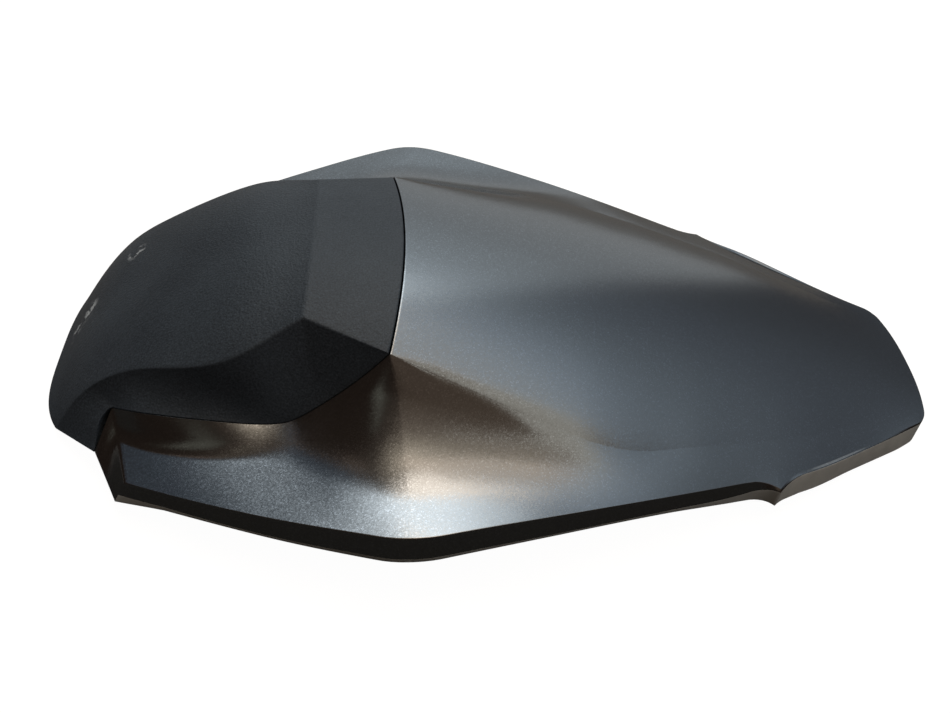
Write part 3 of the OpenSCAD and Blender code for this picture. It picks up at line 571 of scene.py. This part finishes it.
# Rider stop: rows u from the arc (0) to the front lip (1), columns c from the middle (0) over the band's edge, the
# peaks and the chin (1) to the joint and the lower edge (2)
noseX = -stop["noseFore"]
band = stop["bandRow"]
bend = stop["bendRow"]
midX = [(0, -shell["crownFore"] - stop["gap"]), (band, -shell["crownFore"] - stop["bandLength"]), (0.45, -68.5),
        (0.7, -108), (0.85, noseX + 20), (1, noseX)]
midZ = [(0, shell["crownHeight"]), (band, stop["bandHeight"]),
        (0.45, lerp(stop["peakHeight"], stop["bandHeight"], 0.58)), (0.7, stop["bandHeight"] - 27),
        (0.85, stop["bandHeight"] - 43), (1, 0)]
edgeX = [(0, arcX - stop["gap"]), (band, -40.1), (0.45, -68.5), (0.7, -108), (0.85, -126),
         (1, noseX + stop["chinBack"])]
edgeY = [(0, arcY - stop["gap"]), (band, stop["bandWidth"] / 2), (0.45, stop["peakWidth"] / 2),
         (0.7, stop["chinWidth"] / 2), (1, stop["chinWidth"] / 2)]
edgeZ = [(0, ridgeHigh), (band, stop["bandHeight"] - 3.8), (0.45, stop["peakHeight"]),
         (0.7, stop["peakHeight"] - 15.9), (0.85, stop["peakHeight"] - 30), (1, stop["chinRise"])]
footX = [(0, arcX - stop["gap"]), (0.25, -35.4), (0.45, -52), (bend, tipJointX), (1, root.x)]


def banded(guide, u):
    if u < band:
        return lerp(guide[0][1], guide[1][1], u / band)
    return via(guide[1:], u)


def stopFoot(u):
    x = via(footX, u)
    if u <= bend:
        return Vector((x, via(jointWidths, x) - stop["gap"], via(jointHeights, x)))
    t = (u - bend) / (1 - bend)
    return Vector((x - stop["gap"], lerp(tipJointY, root.y, t) - stop["gap"], lerp(stop["jointTipHeight"], root.z, t)))


# The stop's sides are scooped between the peaks and the joint
sideScoop = {"depth": 2.6, "start": 0.4, "run": 0.15}


def stopPoint(u, c):
    e = Vector((banded(edgeX, u), banded(edgeY, u), banded(edgeZ, u)))
    if c <= 1:
        over = lerp(2, 2.6, ease((u - 0.2) / 0.3))
        return Vector((lerp(banded(midX, u), e.x, c ** lerp(2, 3, u)), e.y * c, lerp(banded(midZ, u), e.z, c ** over)))
    w = c - 1
    scoop = sideScoop["depth"] * ease((u - sideScoop["start"]) / sideScoop["run"]) * (1 - u) * 4 * w * (1 - w)
    return e.lerp(stopFoot(u), w) - Vector((0, scoop, scoop))


# The stop's inner side, moved in by t as the shell's is
stopInside = {"probe": (0.05, 0.03), "steepest": 1.6, "lowest": 0.3}


def stopIn(u, c, t):
    p, f = stopPoint(u, c), stopFoot(u)
    if t == 0:
        return p
    columnStep, rowStep = stopInside["probe"]
    a, b = stopPoint(u, max(0, c - columnStep)), stopPoint(u, min(2, c + columnStep))
    g, h = stopPoint(max(0, u - rowStep), c), stopPoint(min(1, u + rowStep), c)
    across = abs(b.z - a.z) / max(1, abs(b.y - a.y))
    along = abs(h.z - g.z) / max(1, abs(h.x - g.x))
    slope = min(stopInside["steepest"], math.hypot(across, along))
    z = p.z - t * math.sqrt(1 + slope * slope)
    z = max(z, stopInside["lowest"] * t)
    return Vector((p.x + t * ease((u - 0.75) / 0.25) - t * ease(1 - u / 0.12), p.y * (f.y - t) / f.y, z))


def stopBase(u, p, t=0):
    foot = stopFoot(u)
    bow = max(0, 1 - u * 8)
    g = ease((u - bend + 0.1) / 0.15)
    depth = lerp(stop["seatStep"] - stop["gap"], 0.8, g)
    return Vector((lerp(foot.x, p.x - stop["gap"] / 2, bow) + t * g, p.y, foot.z - depth))


# Rounding reaches of the stop's creases and rim in millimetres, and its rows and columns
stopEdge = {"peaks": 1.6, "band": 1.3, "rim": 0.6, "lip": 0.3}
stopGrid = {"bandRows": 22, "bandStep": 0.008, "noseRows": 80, "topColumns": 26, "sideColumns": 24}


def riderStop(materials):
    step = stopGrid["bandStep"]
    rows = creased(spread(0, band - step, stopGrid["bandRows"]) + [band - step], band, [band + step])
    rows += spread(band + 2 * step, 0.985, stopGrid["noseRows"]) + [0.985, 0.993, 1.0]
    sides = [1.025] + spread(1.04, 1.985, stopGrid["sideColumns"]) + [1.985, 1.993, 2.0]
    half = creased(spread(0, 0.975, stopGrid["topColumns"]) + [0.975], 1.0, sides)
    columns = mirrored(half)
    grid = [[side(stopPoint(u, abs(c)), c) for c in columns] for u in rows]
    middle, crease = len(half) - 1, half.index(1.0) + 2
    for k in (middle + crease, middle - crease):
        softenColumn(grid, k, stopEdge["peaks"])
    softenRow(grid, rows.index(band) + 2, stopEdge["band"])
    inside = [[side(stopIn(u, abs(c), stop["wall"]), c) for c in columns] for u in rows]
    ring = ringOf(grid)
    crest = [grid[i][j].copy() for i, j in ring]
    below = [stopBase(rows[i], p) for (i, j), p in zip(ring, crest)]
    innerBelow = [stopBase(rows[i], inside[i][j], stop["wall"]) for i, j in ring]
    for q, (i, j) in enumerate(ring):
        if rows[i] == 1:
            below[q] = crest[q] + Vector((stopEdge["lip"], 0, 0))
            innerBelow[q] = Vector((inside[i][j].x, inside[i][j].y, crest[q].z))
    rounds = [bezier(inward(grid, i, j), p, b, stopEdge["rim"], rim["share"])
              for (i, j), p, b in zip(ring, crest, below)]
    for (i, j), made in zip(ring, rounds):
        grid[i][j] = made[0]
    layers = [[made[n] for made in rounds] for n in (1, 2, 3, 4)] + [below, innerBelow]
    return hangingBody("riderStop", grid, layers, materials, [0] * len(layers), inside)


# Materials: colours are sRGB hex, and addNode adds a node with its settings, links and ramp stops
def linear(hexColour):
    values = [int(hexColour[i:i + 2], 16) / 255 for i in (1, 3, 5)]
    return tuple(v / 12.92 if v <= 0.04045 else ((v + 0.055) / 1.055) ** 2.4 for v in values) + (1.0,)


def fill(tree, node, inputs):
    for key, value in inputs.items():
        if hasattr(value, "is_output"):
            tree.links.new(value, node.inputs[key])
        else:
            node.inputs[key].default_value = value


def addNode(tree, kind, inputs=None, output=0, stops=None, **settings):
    made = tree.nodes.new("ShaderNode" + kind)
    for key, value in settings.items():
        setattr(made, key, value)
    fill(tree, made, inputs or {})
    if stops:
        elements = made.color_ramp.elements
        while len(elements) < len(stops):
            elements.new(0.5)
        for element, (at, shade) in zip(elements, stops):
            element.position = at
            element.color = linear(shade)
    return made.outputs[output]


def newMaterial(name):
    material = bpy.data.materials.new(name)
    material.use_nodes = True
    tree = material.node_tree
    return material, tree, addNode(tree, "TexCoord", output="Object")


def finishMaterial(material, inputs):
    fill(material.node_tree, material.node_tree.nodes["Principled BSDF"], inputs)
    return material


# Sprayed dark metallic paint: aluminium flakes under a thin clear coat, a soft metal gloss with a fine glitter. Real
# flakes are about 0.03 mm and wouldn't show, so they are drawn 0.38 mm wide
paintLook = {"flake": 0.38, "tilt": 0.04, "cloud": 1.1, "cloudShare": 0.35, "roughness": 0.2, "grazing": 0.72,
             "coat": 0.08, "coatRoughness": 0.12}


def metallicPaint():
    material, tree, place = newMaterial("metallicPaint")
    cell = addNode(tree, "TexVoronoi", {"Vector": place, "Scale": 1 / (paintLook["flake"] * mm)}, "Color")
    glint = addNode(tree, "SeparateColor", {"Color": cell}, "Red")
    shade = addNode(tree, "ValToRGB", {"Fac": glint},
                    stops=[(0.0, "#696a6a"), (0.6, "#6e6f70"), (0.9, "#757778"), (1.0, "#838588")])
    cloud = addNode(tree, "TexNoise", {"Vector": place, "Scale": 1 / (paintLook["cloud"] * mm), "Detail": 3.0}, "Fac")
    share = addNode(tree, "Math", {0: cloud, 1: paintLook["cloudShare"]}, operation="MULTIPLY")
    base = addNode(tree, "Mix", {0: share, 6: shade, 7: linear("#565757")}, 2, data_type="RGBA")
    offset = addNode(tree, "VectorMath", {0: cell, 1: (0.5, 0.5, 0.5)}, operation="SUBTRACT")
    push = addNode(tree, "VectorMath", {0: offset, "Scale": paintLook["tilt"]}, operation="SCALE")
    normal = addNode(tree, "NewGeometry", output="Normal")
    leaned = addNode(tree, "VectorMath", {0: normal, 1: push}, operation="ADD")
    flakeNormal = addNode(tree, "VectorMath", {0: leaned}, operation="NORMALIZE")
    grazing = paintLook["grazing"]
    return finishMaterial(material, {
        "Base Color": base, "Metallic": 1.0, "Roughness": paintLook["roughness"], "Normal": flakeNormal,
        "Specular Tint": (grazing, grazing, grazing, 1.0), "Coat Weight": paintLook["coat"],
        "Coat Roughness": paintLook["coatRoughness"], "Coat IOR": 1.5,
    })


# Moulded ABS edge of the shell, left unpainted: matte grey-beige with a faint moulding texture
edgeLook = {"patch": 7.0, "texture": 0.5, "depth": 0.1, "strength": 0.15, "roughness": 0.6}


def plainEdge():
    material, tree, place = newMaterial("plainMouldedEdge")
    tone = addNode(tree, "TexNoise", {"Vector": place, "Scale": 1 / (edgeLook["patch"] * mm), "Detail": 3.0}, "Fac")
    base = addNode(tree, "ValToRGB", {"Fac": tone}, stops=[(0.3, "#75736c"), (0.7, "#817f77")])
    fine = addNode(tree, "TexNoise", {"Vector": place, "Scale": 1 / (edgeLook["texture"] * mm), "Detail": 3.0}, "Fac")
    normal = addNode(tree, "Bump", {"Height": fine, "Strength": edgeLook["strength"],
                                    "Distance": edgeLook["depth"] * mm})
    return finishMaterial(material, {"Base Color": base, "Roughness": edgeLook["roughness"], "Normal": normal})


# Black moulded ABS with a fine leather grain: dull, slightly blue, with torn pale scuffs where clothes rubbed its front
grainLook = {"cell": 0.9, "depth": 0.16, "strength": 0.8, "patch": 28.0, "speck": 0.6, "speckShare": 0.45,
             "roughness": 0.5, "specular": 0.18}
scuffLook = {"inner": 0.35, "tear": 4.5, "tearEdge": (0.5, 0.57), "shade": "#8f9190", "strength": 0.7, "rough": 0.25}
scuffs = [((-139, -4, 18), (8, 7, 8)), ((-133, 1, 26), (6, 8, 7)), ((-116, 24, 38), (7, 6, 5))]  # centre and half size


def grainedBlack():
    material, tree, place = newMaterial("grainedBlackPlastic")
    grain = addNode(tree, "TexVoronoi", {"Vector": place, "Scale": 1 / (grainLook["cell"] * mm)}, "Distance",
                    feature="SMOOTH_F1")
    tone = addNode(tree, "TexNoise", {"Vector": place, "Scale": 1 / (grainLook["patch"] * mm), "Detail": 2.0}, "Fac")
    fine = addNode(tree, "TexNoise", {"Vector": place, "Scale": 1 / (grainLook["speck"] * mm), "Detail": 2.0}, "Fac")
    plain = addNode(tree, "ValToRGB", {"Fac": tone}, stops=[(0.3, "#202428"), (0.7, "#2b3034")])
    speck = addNode(tree, "ValToRGB", {"Fac": fine}, stops=[(0.35, "#14171a"), (0.75, "#3a4046")])
    base = addNode(tree, "Mix", {0: grainLook["speckShare"], 6: plain, 7: speck}, 2, data_type="RGBA")
    rubbed = 0.0
    for centre, size in scuffs:
        offset = addNode(tree, "VectorMath", {0: place, 1: (Vector(centre) - Vector((middleX, 0, 0))) * mm},
                         operation="SUBTRACT")
        scaled = addNode(tree, "VectorMath", {0: offset, 1: [1 / (s * mm) for s in size]}, operation="MULTIPLY")
        away = addNode(tree, "VectorMath", {0: scaled}, "Value", operation="LENGTH")
        inside = addNode(tree, "MapRange", {"Value": away, "From Min": 1.0, "From Max": scuffLook["inner"]},
                         interpolation_type="SMOOTHSTEP")
        rubbed = addNode(tree, "Math", {0: rubbed, 1: inside}, operation="ADD", use_clamp=True)
    tear = addNode(tree, "TexNoise", {"Vector": place, "Scale": 1 / (scuffLook["tear"] * mm), "Detail": 4.0,
                                      "Roughness": 0.6}, "Fac")
    torn = addNode(tree, "MapRange", {"Value": tear, "From Min": scuffLook["tearEdge"][0],
                                      "From Max": scuffLook["tearEdge"][1]}, interpolation_type="SMOOTHSTEP")
    rubbed = addNode(tree, "Math", {0: rubbed, 1: torn}, operation="MULTIPLY")
    pale = addNode(tree, "Math", {0: rubbed, 1: scuffLook["strength"]}, operation="MULTIPLY")
    base = addNode(tree, "Mix", {0: pale, 6: base, 7: linear(scuffLook["shade"])}, 2, data_type="RGBA")
    rough = addNode(tree, "Math", {0: rubbed, 1: scuffLook["rough"], 2: grainLook["roughness"]},
                    operation="MULTIPLY_ADD")
    normal = addNode(tree, "Bump", {"Height": grain, "Strength": grainLook["strength"],
                                    "Distance": grainLook["depth"] * mm})
    return finishMaterial(material, {
        "Base Color": base, "Roughness": rough, "Specular IOR Level": grainLook["specular"], "Normal": normal,
    })


# Glass-filled black nylon of the pan, moulded: satin, with a fine spark-eroded texture and flow marks
panLook = {"flow": 22.0, "gloss": 5.0, "texture": 0.8, "depth": 0.15, "strength": 0.35}


def panPlastic():
    material, tree, place = newMaterial("texturedPanPlastic")
    flow = addNode(tree, "TexNoise", {"Vector": place, "Scale": 1 / (panLook["flow"] * mm), "Detail": 4.0}, "Fac")
    base = addNode(tree, "ValToRGB", {"Fac": flow}, stops=[(0.3, "#141516"), (0.7, "#1f2022")])
    gloss = addNode(tree, "TexNoise", {"Vector": place, "Scale": 1 / (panLook["gloss"] * mm), "Detail": 3.0}, "Fac")
    rough = addNode(tree, "Math", {0: gloss, 1: 0.2, 2: 0.45}, operation="MULTIPLY_ADD")
    fine = addNode(tree, "TexNoise", {"Vector": place, "Scale": 1 / (panLook["texture"] * mm), "Detail": 4.0}, "Fac")
    normal = addNode(tree, "Bump", {"Height": fine, "Strength": panLook["strength"], "Distance": panLook["depth"] * mm})
    return finishMaterial(material, {"Base Color": base, "Roughness": rough, "Normal": normal})


# Zinc-plated or blackened steel, brushed: a dull metal gloss with short streaks along the part
steelLook = {"streak": 0.5, "stretch": (1, 12, 12), "cloud": 3.0, "dull": "#6f7273", "depth": 0.05, "strength": 0.1}


def platedSteel(name, shade):
    material, tree, place = newMaterial(name)
    along = addNode(tree, "Mapping", {"Vector": place, "Scale": steelLook["stretch"]})
    streak = addNode(tree, "TexNoise", {"Vector": along, "Scale": 1 / (steelLook["streak"] * mm), "Detail": 2.0}, "Fac")
    cloud = addNode(tree, "TexNoise", {"Vector": place, "Scale": 1 / (steelLook["cloud"] * mm), "Detail": 3.0}, "Fac")
    share = addNode(tree, "Math", {0: cloud, 1: 0.5}, operation="MULTIPLY")
    base = addNode(tree, "Mix", {0: share, 6: linear(shade), 7: linear(steelLook["dull"])}, 2, data_type="RGBA")
    rough = addNode(tree, "Math", {0: streak, 1: 0.25, 2: 0.25}, operation="MULTIPLY_ADD")
    normal = addNode(tree, "Bump", {"Height": streak, "Strength": steelLook["strength"],
                                    "Distance": steelLook["depth"] * mm})
    return finishMaterial(material, {"Base Color": base, "Metallic": 1.0, "Roughness": rough, "Normal": normal})


# Soft black rubber, moulded: matte, with a bloom of paler dust
rubberLook = {"bloom": 4.0, "texture": 0.7, "depth": 0.1, "strength": 0.25, "roughness": 0.8}


def damperRubber():
    material, tree, place = newMaterial("damperRubber")
    bloom = addNode(tree, "TexNoise", {"Vector": place, "Scale": 1 / (rubberLook["bloom"] * mm), "Detail": 4.0}, "Fac")
    base = addNode(tree, "ValToRGB", {"Fac": bloom}, stops=[(0.35, "#101010"), (0.8, "#252423")])
    fine = addNode(tree, "TexNoise", {"Vector": place, "Scale": 1 / (rubberLook["texture"] * mm), "Detail": 3.0}, "Fac")
    normal = addNode(tree, "Bump", {"Height": fine, "Strength": rubberLook["strength"],
                                    "Distance": rubberLook["depth"] * mm})
    return finishMaterial(material, {"Base Color": base, "Roughness": rubberLook["roughness"], "Normal": normal})


paint, edgePlastic, black = metallicPaint(), plainEdge(), grainedBlack()
cowl = paintedShell([paint, edgePlastic])
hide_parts("painted_shell")
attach(cowl, "root")
print("painted shell:", len(cowl.data.polygons), "faces")
hood = riderStop([black])
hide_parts("front_pad")
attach(hood, "root")
print("rider stop:", len(hood.data.polygons), "faces")

carried = {
    "base_pan": panPlastic(),
    "striker_plate": platedSteel("zincPlate", "#a9adad"),
    "lock_striker": platedSteel("zincRod", "#b4b8b8"),
    "striker_bolts": platedSteel("zincBolts", "#9fa3a3"),
    "striker_nuts": platedSteel("zincNuts", "#9a9e9e"),
    "shell_screws": platedSteel("blackScrews", "#2a2c2e"),
    "pad_screws": platedSteel("blackPadScrews", "#2a2c2e"),
    "rubber_dampers": damperRubber(),
}
for node, material in carried.items():
    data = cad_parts[node].data
    data.materials.clear()
    data.materials.append(material)
print("materials of the carried nodes:", len(carried))

# Camera at the photograph's viewpoint, in the shell's millimetres
eye = {
    "position": (-9.52, -274.51, 300.0), "right": (0.9949, -0.04597, 0.0898), "up": (-0.02743, 0.73333, 0.67932),
    "lens": 34.105, "sensor": 36.0, "clipStart": 0.01,
}
cameraData = bpy.data.cameras.new("camera")
cameraData.lens = eye["lens"]
cameraData.sensor_width = eye["sensor"]
cameraData.clip_start = eye["clipStart"]
camera = bpy.data.objects.new("camera", cameraData)
bpy.context.scene.collection.objects.link(camera)
right, up = Vector(eye["right"]).normalized(), Vector(eye["up"]).normalized()
back = right.cross(up).normalized()
turn = Matrix((right, up, back)).transposed().to_4x4()
spot = Vector(eye["position"]) - Vector((middleX, 0, 0))
camera.matrix_world = Matrix.Translation(spot * mm) @ turn
bpy.context.scene.camera = camera

# Pale floor: white to the camera, with a faint shadow, and grey-brown in the object's reflections, with painted shade
# and light there: darker in front of the object, paler behind it
floorLook = {
    "seen": "#4c4741", "near": "#33312e", "far": "#7f7a74", "glow": 0.97, "roughness": 0.9,
    "size": 4.0, "drop": 0.0002, "paleFrom": -0.05, "paleTo": 0.12,
}
bpy.ops.mesh.primitive_plane_add(size=floorLook["size"], location=(0, 0, -floorLook["drop"]))
floor = bpy.context.object
floor.name = "floor"
ground, tree, place = newMaterial("paleFloor")
cameraRay = addNode(tree, "LightPath", output="Is Camera Ray")
# What the reflections see is a grey-brown floor colour with painted shade in front of the object and painted light
# behind it
depth = addNode(tree, "SeparateXYZ", {"Vector": place}, "Y")
behind = addNode(tree, "MapRange", {"Value": depth, "From Min": floorLook["paleFrom"], "From Max": floorLook["paleTo"]},
                 interpolation_type="SMOOTHSTEP")
reflectedPaintedShade = addNode(tree, "Mix", {0: behind, 6: linear(floorLook["near"]), 7: linear(floorLook["far"])}, 2,
                    data_type="RGBA")
shown = addNode(tree, "Mix", {0: cameraRay, 6: reflectedPaintedShade, 7: linear(floorLook["seen"])}, 2, data_type="RGBA")
glow = addNode(tree, "Math", {0: cameraRay, 1: floorLook["glow"]}, operation="MULTIPLY")
floor.data.materials.append(finishMaterial(ground, {
    "Base Color": shown, "Roughness": floorLook["roughness"], "Emission Color": linear("#ffffff"),
    "Emission Strength": glow,
}))
print("camera and floor set")

# Studio around the object. Heights and bearings are in degrees, bearing 0 lies behind the tail and 90 across from the
# camera. Each field has soft left, right, low and high edges (start and end of the fade, or None) over the ones before
studioLook = {"strength": 6.6, "seen": "#6d6d6d"}
dimRoom = [(-90, "#0d0b0a"), (-30, "#15120f"), (0, "#17120f"), (50, "#1b1511"), (65, "#2c2621"), (76, "#5c544a"),
           (82, "#7c7366"), (90, "#c4b3a1")]
riderSide = [(30, "#3f362e"), (45, "#3a312a"), (55, "#3a3129"), (66, "#514840"), (75, "#766d61"), (82, "#9c9182"),
             (90, "#c4b3a1")]
tailSide = [(-30, "#202124"), (0, "#26272a"), (20, "#303337"), (35, "#3b4046"), (45, "#4c5359"), (55, "#68717a"),
            (62, "#7f878d"), (70, "#958b80"), (85, "#c4b3a1")]
greyWall = [(-60, "#878989"), (-20, "#858787"), (0, "#686a6b"), (24, "#63676a"), (34, "#6b7175"), (44, "#7c848a"),
            (54, "#858d92"), (64, "#8d877f"), (80, "#a5998a"), (90, "#c4b3a1")]
studioFields = [
    ([(-160, -146), (-134, -124), (28, 38), (50, 58)], "#403f39"),  # olive patch beside the rider
    ([(146, 154), (162, 172), (47, 53), (58, 64)], "#453b33"),  # brown strip on the far side
    ([(112, 128), (148, 160), (34, 42), (54, 60)], "#2b3138"),  # dim blue glow next to it
    ([(-118, -92), (-14, 2), (20, 34), None], riderSide),
    ([(-14, 2), (54, 58), None, None], tailSide),
    ([(-54, -40), (-6, 6), (52, 60), (62, 69)], "#8b8982"),  # pale field above the tail
    ([(54, 58), (104, 128), None, (62, 80)], greyWall),
    ([(52, 76), (88, 148), (43, 54), (58, 66)], "#e9f4fb"),  # cool window above the wall
    ([(40, 64), (86, 108), (58, 63), (76, 86)], "#fdefdf"),  # warm lamp over the window
]


def studio():
    world = bpy.data.worlds.new("studio")
    world.use_nodes = True
    tree = world.node_tree
    direction = addNode(tree, "SeparateXYZ", {"Vector": addNode(tree, "TexCoord", output="Generated")}).node.outputs
    around = addNode(tree, "Math", {0: direction["Y"], 1: direction["X"]}, operation="ARCTAN2")
    bearing = addNode(tree, "Math", {0: around, 1: 180 / math.pi}, operation="MULTIPLY")
    raised = addNode(tree, "Math", {0: direction["Z"]}, operation="ARCSINE")
    height = addNode(tree, "Math", {0: raised, 1: 180 / math.pi}, operation="MULTIPLY")
    share = addNode(tree, "Math", {0: height, 1: 1 / 180, 2: 0.5}, operation="MULTIPLY_ADD")

    def glowOf(look):
        if isinstance(look, str):
            return linear(look)
        return addNode(tree, "ValToRGB", {"Fac": share}, stops=[(at / 180 + 0.5, shade) for at, shade in look])

    light = glowOf(dimRoom)
    for edges, look in studioFields:
        mask = 1.0
        for value, edge, rising in zip((bearing, bearing, height, height), edges, (True, False, True, False)):
            if edge:
                start, end = edge if rising else reversed(edge)
                part = addNode(tree, "MapRange", {"Value": value, "From Min": start, "From Max": end},
                               interpolation_type="SMOOTHSTEP")
                mask = addNode(tree, "Math", {0: mask, 1: part}, operation="MULTIPLY")
        light = addNode(tree, "Mix", {0: mask, 6: light, 7: glowOf(look)}, 2, data_type="RGBA")
    cameraRay = addNode(tree, "LightPath", output="Is Camera Ray")
    light = addNode(tree, "Mix", {0: cameraRay, 6: light, 7: linear(studioLook["seen"])}, 2, data_type="RGBA")
    fill(tree, tree.nodes["Background"], {"Color": light, "Strength": studioLook["strength"]})
    bpy.context.scene.world = world


# Soft panels that light the matte pieces, aimed at the object's middle and hidden from reflections: place and size in
# metres, power in watts
panels = {
    "softPanelFront": {"place": (-1.3, 0.1, 0.3), "size": (0.8, 0.8), "power": 6, "shade": "#f4f6ff"},
    "softPanelOver": {"place": (0.1, 0.5, 1.1), "size": (1.2, 0.6), "power": 4, "shade": "#ffffff"},
    "softPanelRight": {"place": (1.1, -0.6, 0.5), "size": (0.7, 0.7), "power": 5, "shade": "#f2f5ff"},
}


def addPanel(name, look):
    light = bpy.data.lights.new(name, "AREA")
    light.shape = "RECTANGLE"
    light.size, light.size_y = look["size"]
    light.energy = look["power"]
    light.color = linear(look["shade"])[:3]
    lamp = bpy.data.objects.new(name, light)
    bpy.context.scene.collection.objects.link(lamp)
    lamp.location = look["place"]
    lamp.rotation_euler = (-Vector(look["place"])).to_track_quat("-Z", "Y").to_euler()
    lamp.visible_glossy = False


studio()
for name, look in panels.items():
    addPanel(name, look)
bpy.context.scene.view_settings.view_transform = "Standard"
print("studio and panels lit:", len(studioFields), "fields,", len(panels), "panels")
